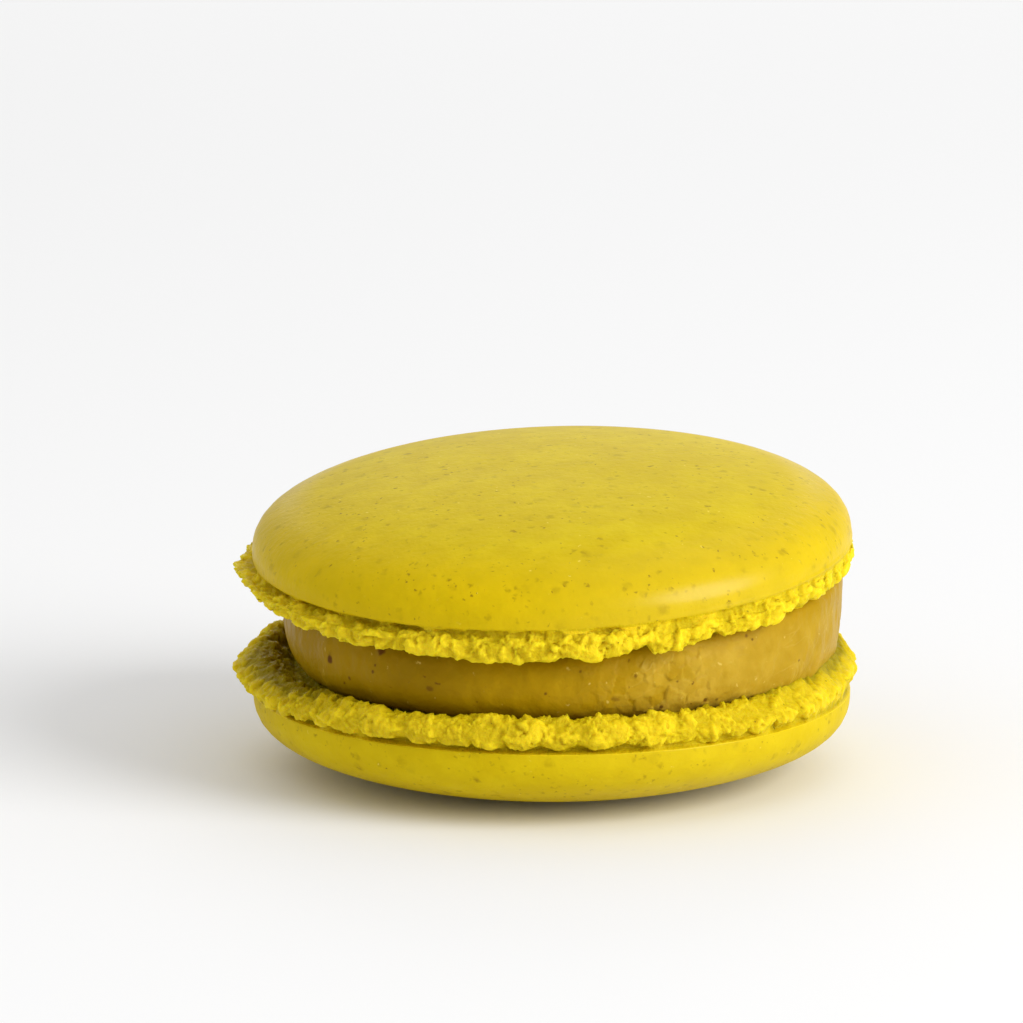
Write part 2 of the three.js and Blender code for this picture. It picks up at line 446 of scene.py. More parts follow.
def dome_outline(shell):
    """Radius and level of the skin's rows from beside its middle to its edge."""
    height = shell["dome_height"]
    angle = np.linspace(flat_angle(height, shell["flat"]), math.pi / 2, 400)
    curve = np.stack([dome_reach(angle), dome_level(angle, height)], 1)
    if shell["flat"]:
        curve = np.vstack([[(0, curve[0, 1])], curve])
    spacing = np.hypot(*np.diff(curve, axis=0).T).sum() / DOME_ROWS
    lip = even_steps(curve, LIP_STEP)[-LIP_ROWS - 1:]
    return np.vstack([even_steps(curve, spacing)[1:-2], lip])


def foot_outline(shell):
    """Radius, level and shares of the foot's rows from the lip to the underside."""
    outline = shell["outline"].copy()
    outline[:, 0] = DOME_RADIUS - outline[:, 0]
    outline[:, 1] *= -shell["foot_height"]
    rows = even_steps(rounded(outline), FOOT_STEP)
    kept = (DOME_RADIUS - rows[:, 0] < INNER_INSET) | (np.arange(len(rows)) % 2 == 0)
    kept[-1] = True
    return rows[kept]


def bumps(turn, places):
    """Smooth bumps and dips at the given places round the macaron."""
    total = np.zeros_like(turn)
    for at, half_width, amount in places:
        away = np.abs(np.mod(np.degrees(turn) - at + 180, 360) - 180)
        total += amount * (1 - smooth(away, 0, half_width))
    return total


def foot_reach(turn, shell):
    """How far a foot stands out past the dome."""
    side = np.sin(turn)
    side_reach = np.where(side < 0, shell["left_reach"], shell["right_reach"])
    swell = shell["front_reach"] + (side_reach - shell["front_reach"]) * side * side
    pleating = pleats(turn, shell["pleat_count"], shell["seed"]) - PLEAT_MIDDLE
    pleating = shell["pleat_depth"] * pleating
    return swell + pleating + wave(turn, REACH_WAVE, shell["seed"]) + bumps(turn, shell["tips"])


def foot_drop(turn, shell):
    """How far the rim of a foot hangs below its usual level."""
    side = np.sin(turn)
    uneven = wave(turn, RIM_WAVE, shell["seed"]) + wave(turn, SLOW_RIM_WAVE, shell["seed"])
    side_lift = np.where(side < 0, shell["left_lift"], shell["right_lift"])
    uneven -= side_lift * side * side + rim_steps(turn, shell["rim_steps"])
    return uneven + bumps(turn, shell["rises"])


def lobe_hang(turn, shell):
    """How far the lobes of a foot hang over the groove beside the dome."""
    lobes = pleats(turn, LOBE_COUNT, shell["seed"] + 7)
    return LOBE_HANG * (lobes - LOBE_MIDDLE) + wave(turn, LOBE_SWAY, shell["seed"])


def skin_swell(radius, turn, shell):
    """The slight unevenness of a dome, none at its flat spot or its edge."""
    flat_radius = dome_reach(flat_angle(shell["dome_height"], shell["flat"]))
    past = smooth(radius, flat_radius, flat_radius + 6)
    within = 1 - smooth(radius, DOME_RADIUS - 5, DOME_RADIUS)
    return past * within * wave(turn, SKIN_WAVE, shell["seed"])


def even_turns(count):
    return np.arange(count) * TURN / count


def turned(radius, turn, level):
    """Points at that distance from the middle, that far round and at that level."""
    return np.stack([radius * np.sin(turn), -radius * np.cos(turn), level], -1)


# Meshes


def membranes(points, size, seed):
    """Thin curved ridges, 1 on the ridge and 0 away from it."""
    sway = soft_noise(points, size, seed)
    ridge = np.clip(1 - np.abs(sway[:, 0]) / MEMBRANE_WIDTH, 0, 1) ** 1.5
    return ridge * smooth(sway[:, 1], -0.4, 0.2)


def pores(points, size, seed):
    """Round holes of uneven size in some cells, 1 in the hole and a little below 0 on its rim."""
    near, _, _, _, chosen = crumb_cells(points, size, seed)
    radius = 0.12 + 0.14 * chosen[:, 1]
    hole = 1 - smooth(near, 0.5 * radius, 1.25 * radius)
    rim = smooth(near, radius, 1.3 * radius) * (1 - smooth(near, 1.4 * radius, 2.2 * radius))
    return (hole - PORE_RIM * rim) * (chosen[:, 2] < PORE_SHARE)


def crumbed(points, outward, amount, seed):
    """Points of a foot pushed in and out into lumps, bubbles, flakes, membranes and pores, and how
    high each lies, from 0 in the hollows to 1 on the ridges."""
    warped = points + CRUMB_WARP * soft_noise(points, CRUMB_WARP_SIZE, seed)
    size, height, layer = LUMPS
    push = height * soft_noise(warped, size, seed * 10 + layer)[:, 0]
    for size, height, layer in BUBBLES:
        _, edge, _, _, chosen = crumb_cells(warped, size, seed * 10 + layer)
        inside = 1 - np.clip(1 - edge / 0.5, 0, 1) ** 2
        burst = np.where(chosen[:, 0] < BURST_SHARE, -1, 1)
        push += height * inside * burst * (0.5 + 0.7 * chosen[:, 1])
    size, height, layer = FLAKES
    _, _, slant, step, _ = crumb_cells(warped, size, seed * 10 + layer)
    push += height * (FLAKE_SLANT * slant + FLAKE_STEP * step)
    for size, height, layer in MEMBRANES:
        push += height * membranes(warped, size, seed * 10 + layer)
    size, height, layer = PORES
    push -= height * pores(points, size, seed * 10 + layer)
    push = CRUMB_LIMIT * np.tanh(push / CRUMB_LIMIT)
    size, height, layer = TEETH
    push += height * soft_noise(points, size, seed * 10 + layer)[:, 0]
    moved = points + outward * (push * amount)[:, None]
    return moved, smooth(push, -0.35, 0.3) * smooth(amount, 0.2, 0.7)


def ring_faces(first, second):
    """Quads between two rings of vertex numbers of equal length."""
    return np.stack([first, np.roll(first, -1), np.roll(second, -1), second], 1).tolist()


def stitch_faces(coarse, fine):
    """Triangles between a ring and a finer one."""
    ratio = len(fine) // len(coarse)
    half = ratio // 2 + 1
    faces = []
    for i, start in enumerate(coarse):
        end = coarse[(i + 1) % len(coarse)]
        run = [fine[(i * ratio + k) % len(fine)] for k in range(ratio + 1)]
        for k in range(ratio):
            faces.append((start if k < half else end, run[k + 1], run[k]))
            if k == half - 1:
                faces.append((start, end, run[half]))
    return faces


def fan_faces(middle, ring):
    """Triangles between a point and a ring round it."""
    return [(middle, int(a), int(b)) for a, b in zip(ring, np.roll(ring, -1))]


def mesh_piece(name, points, faces, materials, shares, face_materials=None):
    """A closed piece from points in millimetres, smooth shaded, with its faces turned outward."""
    mesh = bpy.data.meshes.new(name)
    mesh.from_pydata((points * MM).tolist(), [], faces)
    for label, values in shares.items():
        attribute = mesh.attributes.new(label, "FLOAT", "POINT")
        attribute.data.foreach_set("value", values.astype(np.float32))
    work = bmesh.new()
    work.from_mesh(mesh)
    bmesh.ops.recalc_face_normals(work, faces=work.faces)
    work.to_mesh(mesh)
    work.free()
    mesh.shade_smooth()
    for material in materials:
        mesh.materials.append(material)
    if face_materials is not None:
        mesh.polygons.foreach_set("material_index", face_materials)
    piece = bpy.data.objects.new(name, mesh)
    bpy.context.scene.collection.objects.link(piece)
    return piece


def skin_points(shell, dome, turn):
    """The skin of a dome, with the fine bead along its lip."""
    radius, turn = np.meshgrid(dome[:, 0], turn, indexing="ij")
    level = dome[:, 1][:, None] + skin_swell(radius, turn, shell)
    bead = smooth(dome[:, 1], *BEAD_RISE) * (1 - smooth(dome[:, 1], *BEAD_FALL))
    bead = bead * (dome[:, 0] > 0.9 * DOME_RADIUS)
    radius = radius + bead[:, None] * bumps(turn, shell["lip_beads"])
    return turned(radius, turn, level).reshape(-1, 3)


def square_to(rows, turn):
    """The direction that points straight out of the foot at each of its points."""
    along = np.gradient(rows[:, :2], axis=0)
    across = np.stack([-along[:, 1], along[:, 0]], 1)
    across /= np.linalg.norm(across, axis=1)[:, None]
    outward = turned(across[:, :1] + 0 * turn, turn, across[:, 1:] + 0 * turn)
    return outward.reshape(-1, 3)


def foot_tone(shell, ridge, inset, depth, turn, sloped, filled):
    """How pale each point of a foot is, as painted shade: 1 on the ridges, 0 in hollows, below 0 in the
    olive shade of its trough, slope and groove.
    """
    from_edge = inset[:, None] + sloped
    trough = (smooth(from_edge, *TROUGH_INSET) * (depth > TROUGH_DEPTH)[:, None]).ravel()
    shaded = (smooth(from_edge, *SHADED_INSET) * bumps(turn, shell["shaded"])).ravel()
    recess = smooth(inset, *RECESS_INSET) * (depth < RECESS_DEPTH)
    recess = (recess[:, None] * (1 - filled)).ravel()
    tone = ridge * shell["crumb_light"] * (1 - RIDGE_LOSS * (trough + recess))
    return tone - TROUGH_TONE * trough - RECESS_TONE * recess - shaded


def foot_points(shell, foot, turn):
    """The crumb of a foot, and the tone of each of its points."""
    reach, turn = np.meshgrid(foot[:, 2], turn, indexing="ij")
    depth = -foot[:, 1] / shell["foot_height"]
    inset = DOME_RADIUS - foot[:, 0]

    in_groove = (1 - smooth(depth, *GROOVE_DEPTH)) * (inset < GROOVE_WIDTH)
    bridged = np.clip(wave(turn, GROOVE_BRIDGES, shell["seed"]), 0, 1)
    filled = in_groove[:, None] * np.clip(bumps(turn, shell["filled"]) + bridged, 0, MOST_FILLED)
    sloped = smooth(depth, *SLOPE_DEPTH) * (1 - smooth(inset, *SLOPE_INSET))
    sloped = sloped[:, None] * bumps(turn, shell["slopes"])
    radius = DOME_RADIUS - inset[:, None] * (1 - filled)
    radius = radius + reach * foot_reach(turn, shell) * (1 - FILLED_REACH_LOSS * filled)
    radius = radius - sloped

    level = foot[:, 1][:, None] - foot[:, 3][:, None] * foot_drop(turn, shell)
    level += foot[:, 5][:, None] * lobe_hang(turn, shell)
    behind = 1 - smooth(np.abs(inset - BACK_PEAK_INSET), 0, BACK_PEAK_WIDTH)
    behind = behind * (depth > BACK_PEAK_DEPTH)
    level -= behind[:, None] * bumps(turn, shell["back_peaks"])

    filled_crumb = FILLED_CRUMB * filled * smooth(depth, 0, FILLED_CRUMB_DEPTH)[:, None]
    amount = foot[:, 4][:, None] + filled_crumb
    amount = (amount * (1 - bumps(turn, shell["calm"]))).ravel()
    smooth_foot = turned(radius, turn, level).reshape(-1, 3)
    crumb, ridge = crumbed(smooth_foot, square_to(foot, turn), amount, shell["seed"])
    return crumb, foot_tone(shell, ridge, inset, depth, turn, sloped, filled)


def shell_faces(dome_rings, foot_rings, under_ring, pole, nadir):
    """Faces of a shell, and how many of the first ones are skin."""
    faces = fan_faces(pole, dome_rings[0])
    for upper, lower in zip(dome_rings[:-1], dome_rings[1:]):
        faces += ring_faces(lower, upper)
    skin_count = len(faces)
    faces += stitch_faces(dome_rings[-1].tolist(), foot_rings[1].tolist())
    for upper, lower in zip(foot_rings[1:-1], foot_rings[2:]):
        faces += ring_faces(lower, upper)
    faces += stitch_faces(under_ring.tolist(), foot_rings[-1].tolist())
    faces += fan_faces(nadir, under_ring)
    return faces, skin_count


def shell_mesh(shell):
    """Points, faces, shares at the points and face materials of a whole shell with its dome up."""
    dome = dome_outline(shell)
    foot = foot_outline(shell)
    dome_turn = even_turns(DOME_COLUMNS)
    skin = skin_points(shell, dome, dome_turn)
    crumb, crumb_tone = foot_points(shell, foot, even_turns(FOOT_COLUMNS))
    underside = np.ones(UNDERSIDE_COLUMNS)
    under = turned(underside * (foot[-1, 0] - UNDERSIDE_INSET), even_turns(UNDERSIDE_COLUMNS),
                   underside * -shell["foot_height"])
    middle = np.array([[0, 0, shell["dome_height"] - shell["flat"]], [0, 0, -shell["foot_height"]]])
    points = np.vstack([skin, crumb, under, middle])

    dome_rings = np.arange(len(skin)).reshape(-1, DOME_COLUMNS)
    foot_rings = len(skin) + np.arange(len(crumb)).reshape(-1, FOOT_COLUMNS)
    under_ring = len(skin) + len(crumb) + np.arange(UNDERSIDE_COLUMNS)
    pole, nadir = len(points) - 2, len(points) - 1
    faces, skin_count = shell_faces(dome_rings, foot_rings, under_ring, pole, nadir)
    kinds = np.zeros(len(faces), np.int32)
    kinds[skin_count:] = 1

    rim = smooth(dome[:, 0], RIM_START * DOME_RADIUS, RIM_FULL * DOME_RADIUS)
    # Painted shade: the rim of each dome is given a darker golden yellow
    skin_tone = 1 - np.repeat(shell["rim_shade"] * rim, DOME_COLUMNS)
    tone = np.concatenate([skin_tone, crumb_tone, 0.5 * underside, [1, 0.5]])
    gloss = np.zeros(len(points))
    gloss[:len(skin)] = (shell["gloss"] * rim[:, None] * bumps(dome_turn, GLOSSY_RIM)).ravel()
    return points, faces, {"tone": tone, "gloss": gloss}, kinds


def without_strays(points, faces, shares):
    """The same shape without points that no face uses."""
    used = np.zeros(len(points), bool)
    for face in faces:
        used[list(face)] = True
    renumber = np.cumsum(used) - 1
    faces = [tuple(int(renumber[i]) for i in face) for face in faces]
    return points[used], faces, {label: values[used] for label, values in shares.items()}


def make_shell(name, shell, seat, lean, materials):
    """A shell whose lip lies at the height of its seat, leaning by those angles."""
    points, faces, shares, kinds = shell_mesh(shell)
    points, faces, shares = without_strays(points, faces, shares)
    if not shell["dome_up"]:
        points[:, 2] *= -1
    turn = np.array(Euler(lean).to_matrix())
    points = points @ turn.T + np.array([0, 0, seat])
    return mesh_piece(name, points, faces, materials, shares, kinds)


def paste_flecks():
    """The measured flecks in front and others by chance behind, listed alike."""
    flecks = list(FRONT_FLECKS)
    for i in range(BACK_FLECK_COUNT):
        place = BACK_FLECK_START + BACK_FLECK_RANGE * chance(i, 81)
        level = 0.15 + 0.7 * chance(i, 82)
        half_width = 0.1 + 0.22 * chance(i, 83) ** 2
        half_height = half_width * (0.7 + 0.6 * chance(i, 84))
        flecks.append((place, level, half_width, half_height, 0.5 + 0.5 * chance(i, 85)))
    return flecks


def fleck_share(turn, share, height):
    """How much of a dark fleck lies at each point of the paste, from 0 to 1."""
    around = turned(FILLING_RADIUS, turn, share * height) * (1, -1, 1)
    ragged = soft_noise(around.reshape(-1, 3), 0.25, 72)[:, 0].reshape(turn.shape)
    dark = np.zeros_like(turn)
    for place, level, half_width, half_height, strength in paste_flecks():
        away = np.radians(np.mod(np.degrees(turn) - place + 180, 360) - 180) * FILLING_RADIUS
        reach = np.hypot(away / half_width, (share - level) * height / half_height)
        dark = np.maximum(dark, strength * (1 - smooth(reach + 0.35 * ragged, 0.6, 1.25)))
    return dark


def paste_radius(share, turn):
    """The bulge of the paste, from its rounded undercut to its tucked top."""
    under = np.clip(1 - share / FILLING_ROUND_SHARE, 0, 1)
    over = np.clip((share - TUCK_START) / (1 - TUCK_START), 0, 1)
    edge = np.clip((share - FILLING_EDGE_START) / (1 - FILLING_EDGE_START), 0, 1)
    belly = FILLING_UNDERCUT * (np.sqrt(1 - under ** 2) - 1) - FILLING_EDGE * edge ** 2
    belly -= bumps(turn, FILLING_TUCKS) * over ** 2
    uneven = wave(turn, FILLING_WAVE) + wave(turn + CREASE_SLANT * share, FILLING_CREASE)
    return FILLING_RADIUS + belly + uneven


def smeared_paste(side, turn, share):
    """Points of the paste with its swells and smears, and how pale each smear is."""
    paste = side.reshape(-1, 3)
    outward = turned(np.ones_like(turn), turn, 0 * turn).reshape(-1, 3)
    for size, height, layer in PASTE_SWELLS:
        stretched = paste * (1, 1, PASTE_STRETCH)
        paste = paste + outward * height * soft_noise(stretched, size, layer)[:, :1]
    size, slant_height, step_height = SMEAR_FACETS
    _, _, slant, step, _ = crumb_cells(paste, size, SMEAR_SEED)
    smeared = bumps(turn, SMEARED).ravel() * (1 - smooth(share, *SMEAR_END)).ravel()
    paste = paste + outward * (smeared * (slant_height * slant + step_height * step))[:, None]
    return paste, SMEAR_TONE * smeared * step


def make_filling(name, material):
    """The layer of paste, with its top cut to the lean of the upper shell."""
    normal = Euler((FRONT_LEAN, -SIDE_LEAN, 0)).to_matrix() @ Vector((0, 0, 1))
    bottom = LOWER_EDGE + BOTTOM_FOOT_HEIGHT - FILLING_DIP
    top_centre = LOWER_EDGE + SHELL_SPACING - (TOP_FOOT_HEIGHT - FILLING_SINK) / normal.z
    levels = np.linspace(0, 1, FILLING_ROWS)
    share, turn = np.meshgrid(levels, even_turns(FILLING_COLUMNS), indexing="ij")
    side = turned(paste_radius(share, turn), turn, share)
    side[..., 0] += FILLING_SHIFT
    top = top_centre - (normal.x * side[..., 0] + normal.y * side[..., 1]) / normal.z
    side[..., 2] = bottom + (top - bottom) * share
    paste, smear_tone = smeared_paste(side, turn, share)
    middle = np.array([[FILLING_SHIFT, 0, bottom],
                       [FILLING_SHIFT, 0, top_centre - normal.x * FILLING_SHIFT / normal.z]])
    points = np.vstack([paste, middle])

    rings = np.arange(len(paste)).reshape(-1, FILLING_COLUMNS)
    faces = []
    for lower, upper in zip(rings[:-1], rings[1:]):
        faces += ring_faces(lower, upper)
    faces += fan_faces(len(paste), rings[0])
    faces += fan_faces(len(paste) + 1, rings[-1])

    # Painted light and shade: paler on the lit right, darker at the front left, and painted shade where
    # the paste meets the upper foot
    tone = bumps(turn, PASTE_LIGHT_AND_SHADE) - CONTACT_SHADE * smooth(share, *CONTACT_SHADE_SHARES)
    tone = np.concatenate([tone.ravel() + smear_tone, [0, 0]])
    dark = np.concatenate([fleck_share(turn, share, top - bottom).ravel(), [0, 0]])
    return mesh_piece(name, points, faces, [material], {"tone": tone, "fleck": dark})


# Shader groups and finishes


def new_group(name, inputs, outputs):
    group = bpy.data.node_groups.new(name, "ShaderNodeTree")
    for label, kind, value in inputs:
        socket = group.interface.new_socket(label, in_out="INPUT", socket_type=kind)
        if value is not None:
            socket.default_value = value
    for label, kind in outputs:
        group.interface.new_socket(label, in_out="OUTPUT", socket_type=kind)
    return group, group.nodes.new("NodeGroupInput"), group.nodes.new("NodeGroupOutput")


def math_node(tree, operation, first, second=None, third=None, clamp=False):
    node = tree.nodes.new("ShaderNodeMath")
    node.operation = operation
    node.use_clamp = clamp
    for slot, value in enumerate((first, second, third)):
        if value is None:
            continue
        if isinstance(value, (int, float)):
            node.inputs[slot].default_value = value
        else:
            tree.links.new(value, node.inputs[slot])
    return node.outputs[0]


def noise_node(tree, vector, scale, detail=3.0, roughness=0.5):
    node = tree.nodes.new("ShaderNodeTexNoise")
    node.inputs["Detail"].default_value = detail
    node.inputs["Roughness"].default_value = roughness
    tree.links.new(vector, node.inputs["Vector"])
    if isinstance(scale, (int, float)):
        node.inputs["Scale"].default_value = scale
    else:
        tree.links.new(scale, node.inputs["Scale"])
    return node.outputs["Fac"]


def range_node(tree, value, low, high, to_low=0.0, to_high=1.0):
    node = tree.nodes.new("ShaderNodeMapRange")
    node.interpolation_type = "SMOOTHSTEP"
    tree.links.new(value, node.inputs["Value"])
    ends = {"From Min": low, "From Max": high, "To Min": to_low, "To Max": to_high}
    for label, amount in ends.items():
        if isinstance(amount, (int, float)):
            node.inputs[label].default_value = amount
        else:
            tree.links.new(amount, node.inputs[label])
    return node.outputs["Result"]


def mix_colour(tree, share, first, second):
    node = tree.nodes.new("ShaderNodeMix")
    node.data_type = "RGBA"
    colours = [socket for socket in node.inputs if socket.type == "RGBA"]
    for socket, value in ((node.inputs["Factor"], share), (colours[0], first), (colours[1], second)):
        if isinstance(value, (int, float)):
            socket.default_value = value
        elif isinstance(value, tuple):
            socket.default_value = (*value, 1)
        else:
            tree.links.new(value, socket)
    return next(socket for socket in node.outputs if socket.type == "RGBA")


def speck_group():
    """Scattered specks: a mask that is 1 inside each speck."""
    group, given, result = new_group(
        "scattered_specks",
        [("Vector", "NodeSocketVector", None), ("Scale", "NodeSocketFloat", 1000.0),
         ("Size", "NodeSocketFloat", 0.2), ("Share", "NodeSocketFloat", 0.3)],
        [("Mask", "NodeSocketFloat")])
    cells = group.nodes.new("ShaderNodeTexVoronoi")
    bend = group.nodes.new("ShaderNodeTexNoise")
    bend.inputs["Scale"].default_value = 2200.0
    bend.inputs["Detail"].default_value = 4.0
    group.links.new(given.outputs["Vector"], bend.inputs["Vector"])
    bent = group.nodes.new("ShaderNodeVectorMath")
    bent.operation = "MULTIPLY_ADD"
    group.links.new(bend.outputs["Color"], bent.inputs[0])
    bent.inputs[1].default_value = (0.0008, 0.0008, 0.0008)
    group.links.new(given.outputs["Vector"], bent.inputs[2])
    group.links.new(bent.outputs[0], cells.inputs["Vector"])
    group.links.new(given.outputs["Scale"], cells.inputs["Scale"])
    parts = group.nodes.new("ShaderNodeSeparateColor")
    group.links.new(cells.outputs["Color"], parts.inputs["Color"])
    size = math_node(group, "MULTIPLY", given.outputs["Size"],
                     math_node(group, "ADD", parts.outputs["Green"], 0.4))
    inside = range_node(group, cells.outputs["Distance"], size,
                        math_node(group, "MULTIPLY", size, 0.2))
    chosen = math_node(group, "LESS_THAN", parts.outputs["Red"], given.outputs["Share"])
    group.links.new(math_node(group, "MULTIPLY", inside, chosen), result.inputs["Mask"])
    return group


def mottle_group():
    """Slow cloudy variation between 0 and 1."""
    group, given, result = new_group(
        "baked_mottle",
        [("Vector", "NodeSocketVector", None), ("Scale", "NodeSocketFloat", 120.0),
         ("Contrast", "NodeSocketFloat", 0.3)],
        [("Mask", "NodeSocketFloat")])
    cloud = noise_node(group, given.outputs["Vector"], given.outputs["Scale"], 4.0, 0.55)
    low = math_node(group, "SUBTRACT", 0.5, given.outputs["Contrast"])
    high = math_node(group, "ADD", 0.5, given.outputs["Contrast"])
    group.links.new(range_node(group, cloud, low, high), result.inputs["Mask"])
    return group


def grain_group():
    """Fine unevenness of a baked or pasty surface, as a height."""
    group, given, result = new_group(
        "fine_grain",
        [("Vector", "NodeSocketVector", None), ("Scale", "NodeSocketFloat", 2000.0)],
        [("Height", "NodeSocketFloat")])
    fine = noise_node(group, given.outputs["Vector"], given.outputs["Scale"], 4.0, 0.6)
    group.links.new(fine, result.inputs["Height"])
    return group


def streak_group():
    """Curling streaks of a folded paste: a height that is highest along each streak."""
    group, given, result = new_group(
        "folded_streaks",
        [("Vector", "NodeSocketVector", None), ("Scale", "NodeSocketFloat", 400.0),
         ("Curl", "NodeSocketFloat", 2.0), ("Width", "NodeSocketFloat", 0.08)],
        [("Height", "NodeSocketFloat")])
    cloud = group.nodes.new("ShaderNodeTexNoise")
    cloud.inputs["Detail"].default_value = 2.0
    group.links.new(given.outputs["Vector"], cloud.inputs["Vector"])
    group.links.new(given.outputs["Scale"], cloud.inputs["Scale"])
    group.links.new(given.outputs["Curl"], cloud.inputs["Distortion"])
    away = math_node(group, "ABSOLUTE", math_node(group, "SUBTRACT", cloud.outputs["Fac"], 0.5))
    group.links.new(range_node(group, away, given.outputs["Width"], 0.0), result.inputs["Height"])
    return group


def use_group(tree, group, vector, **values):
    node = tree.nodes.new("ShaderNodeGroup")
    node.node_tree = group
    tree.links.new(vector, node.inputs["Vector"])
    for label, value in values.items():
        node.inputs[label].default_value = value
    return node.outputs[0]


def new_material(name, roughness, subsurface, radius, specular):
    """A Principled material, with the reach of its subsurface light in millimetres."""
    material = bpy.data.materials.new(name)
    material.use_nodes = True
    tree = material.node_tree
    shader = tree.nodes["Principled BSDF"]
    shader.inputs["Roughness"].default_value = roughness
    shader.inputs["Specular IOR Level"].default_value = specular
    shader.inputs["Subsurface Weight"].default_value = subsurface
    shader.inputs["Subsurface Radius"].default_value = radius
    shader.inputs["Subsurface Scale"].default_value = MM
    place = tree.nodes.new("ShaderNodeTexCoord").outputs["Object"]
    return material, tree, shader, place


def point_share(tree, label):
    """A number that the mesh carries at each of its points."""
    node = tree.nodes.new("ShaderNodeAttribute")
    node.attribute_name = label
    return node.outputs["Fac"]


def add_bump(tree, shader, height, distance, strength):
    bump = tree.nodes.new("ShaderNodeBump")
    bump.inputs["Distance"].default_value = distance
    bump.inputs["Strength"].default_value = strength
    tree.links.new(height, bump.inputs["Height"])
    tree.links.new(bump.outputs["Normal"], shader.inputs["Normal"])


SKIN_YELLOW = (0.655, 0.500, 0.004)
SKIN_DEEP = (0.560, 0.400, 0.001)
# Darker golden yellow painted on the rim of a dome as shade
SKIN_RIM_SHADE = (0.655, 0.462, 0.002)
SPECK_BROWN = (0.230, 0.130, 0.004)
SPECK_OLIVE = (0.360, 0.240, 0.001)
SPECK_PALE = (0.900, 0.760, 0.150)

# Specks of the baked skin: cells for each metre, size in cells, share of cells, strength, colour.
# Those of the feet and the paste are listed in the same way.
SKIN_SPECKS = (
    (650.0, 0.30, 0.8, 0.45, SPECK_OLIVE),
    (1200.0, 0.28, 0.6, 0.65, SPECK_OLIVE),
    (2000.0, 0.24, 0.4, 0.75, SPECK_BROWN),
    (250.0, 0.08, 1.0, 0.8, SPECK_BROWN),
    (1400.0, 0.16, 0.3, 0.5, SPECK_PALE),
)
FOOT_YELLOW = (0.895, 0.662, 0.012)
# Painted shade of the crumb: a darker yellow in its hollows and olive in its trough, slope and groove
FOOT_HOLLOW = (0.620, 0.455, 0.003)
FOOT_OLIVE = (0.300, 0.225, 0.001)
PASTE_TAN = (0.410, 0.248, 0.002)
PASTE_DEEP = (0.330, 0.190, 0.001)
PASTE_PALE = (0.500, 0.325, 0.031)
PASTE_SHADED = (0.255, 0.150, 0.001)
PASTE_SPECK = (0.120, 0.045, 0.005)
# Pale colour of painted glints and sheen on the paste
PASTE_GLINT = (0.700, 0.520, 0.120)
# Dark dots of painted shade that stand for the crumb's pinholes
PINHOLE = (0.070, 0.045, 0.001)
CRUMB_SPECKS = (
    (1300.0, 0.15, 0.35, 0.5, SPECK_OLIVE),
    # The pinhole specks are painted shade
    (1500.0, 0.13, 0.14, 0.85, PINHOLE),
)
PASTE_SPECKS = (
    (900.0, 0.13, 0.35, 0.8, PASTE_SPECK),
    # The pale specks of the paste are painted glints
    (1500.0, 0.20, 0.35, 0.6, PASTE_GLINT),
)


def skin_finish(groups):
    """Smooth baked skin of a dome: satin yellow with small olive-brown specks, a glossier rim, and a
    darker golden yellow painted on the rim as shade.
    """
    material, tree, shader, place = new_material(
        "baked_skin", roughness=0.5, subsurface=0.12, radius=(1.2, 0.8, 0.15), specular=0.05)
    tone = point_share(tree, "tone")
    # Painted shade: the rim of the dome turns a darker golden yellow where the tone falls
    colour = mix_colour(tree, tone, SKIN_RIM_SHADE, SKIN_YELLOW)
    roughness = range_node(tree, tone, 0.0, 0.8, to_low=0.34, to_high=0.52)
    tree.links.new(roughness, shader.inputs["Roughness"])
    coat = range_node(tree, point_share(tree, "gloss"), 0.0, 1.0, to_low=0.0, to_high=0.3)
    tree.links.new(coat, shader.inputs["Coat Weight"])
    shader.inputs["Coat Roughness"].default_value = 0.28
    for scale, share in ((110.0, 0.4), (480.0, 0.6)):
        mottle = use_group(tree, groups["mottle"], place, Scale=scale, Contrast=0.18)
        colour = mix_colour(tree, math_node(tree, "MULTIPLY", mottle, share), colour, SKIN_DEEP)
    patches = use_group(tree, groups["mottle"], place, Scale=330.0, Contrast=0.12)
    for scale, size, share, strength, speck in SKIN_SPECKS:
        mask = use_group(tree, groups["specks"], place, Scale=scale, Size=size, Share=share)
        mask = math_node(tree, "MULTIPLY", mask, math_node(tree, "MULTIPLY_ADD", patches, 0.8, 0.35))
        colour = mix_colour(tree, math_node(tree, "MULTIPLY", mask, strength, clamp=True), colour, speck)
    tree.links.new(colour, shader.inputs["Base Color"])
    grain = use_group(tree, groups["grain"], place, Scale=1800.0)
    add_bump(tree, shader, grain, distance=0.00012, strength=0.5)
    return material


def foot_finish(groups):
    """Broken crumb of a foot: paler on the ridges, with painted shade darker in the hollows and olive in
    the trough, slope and groove.
    """
    material, tree, shader, place = new_material(
        "foot_crumb", roughness=0.48, subsurface=0.45, radius=(1.2, 0.9, 0.15), specular=0.1)
    tone = point_share(tree, "tone")
    # Painted shade: the hollows of the crumb are darker than its ridges
    raised = range_node(tree, tone, 0.0, 1.0)
    colour = mix_colour(tree, raised, FOOT_HOLLOW, FOOT_YELLOW)
    # Painted shade: olive where the tone falls below 0
    sunk = range_node(tree, tone, 0.0, -0.8)
    colour = mix_colour(tree, sunk, colour, FOOT_OLIVE)
    for scale, size, share, strength, speck in CRUMB_SPECKS:
        mask = use_group(tree, groups["specks"], place, Scale=scale, Size=size, Share=share)
        colour = mix_colour(tree, math_node(tree, "MULTIPLY", mask, strength), colour, speck)
    tree.links.new(colour, shader.inputs["Base Color"])
    grain = use_group(tree, groups["grain"], place, Scale=2800.0)
    add_bump(tree, shader, grain, distance=0.0003, strength=0.9)
    return material


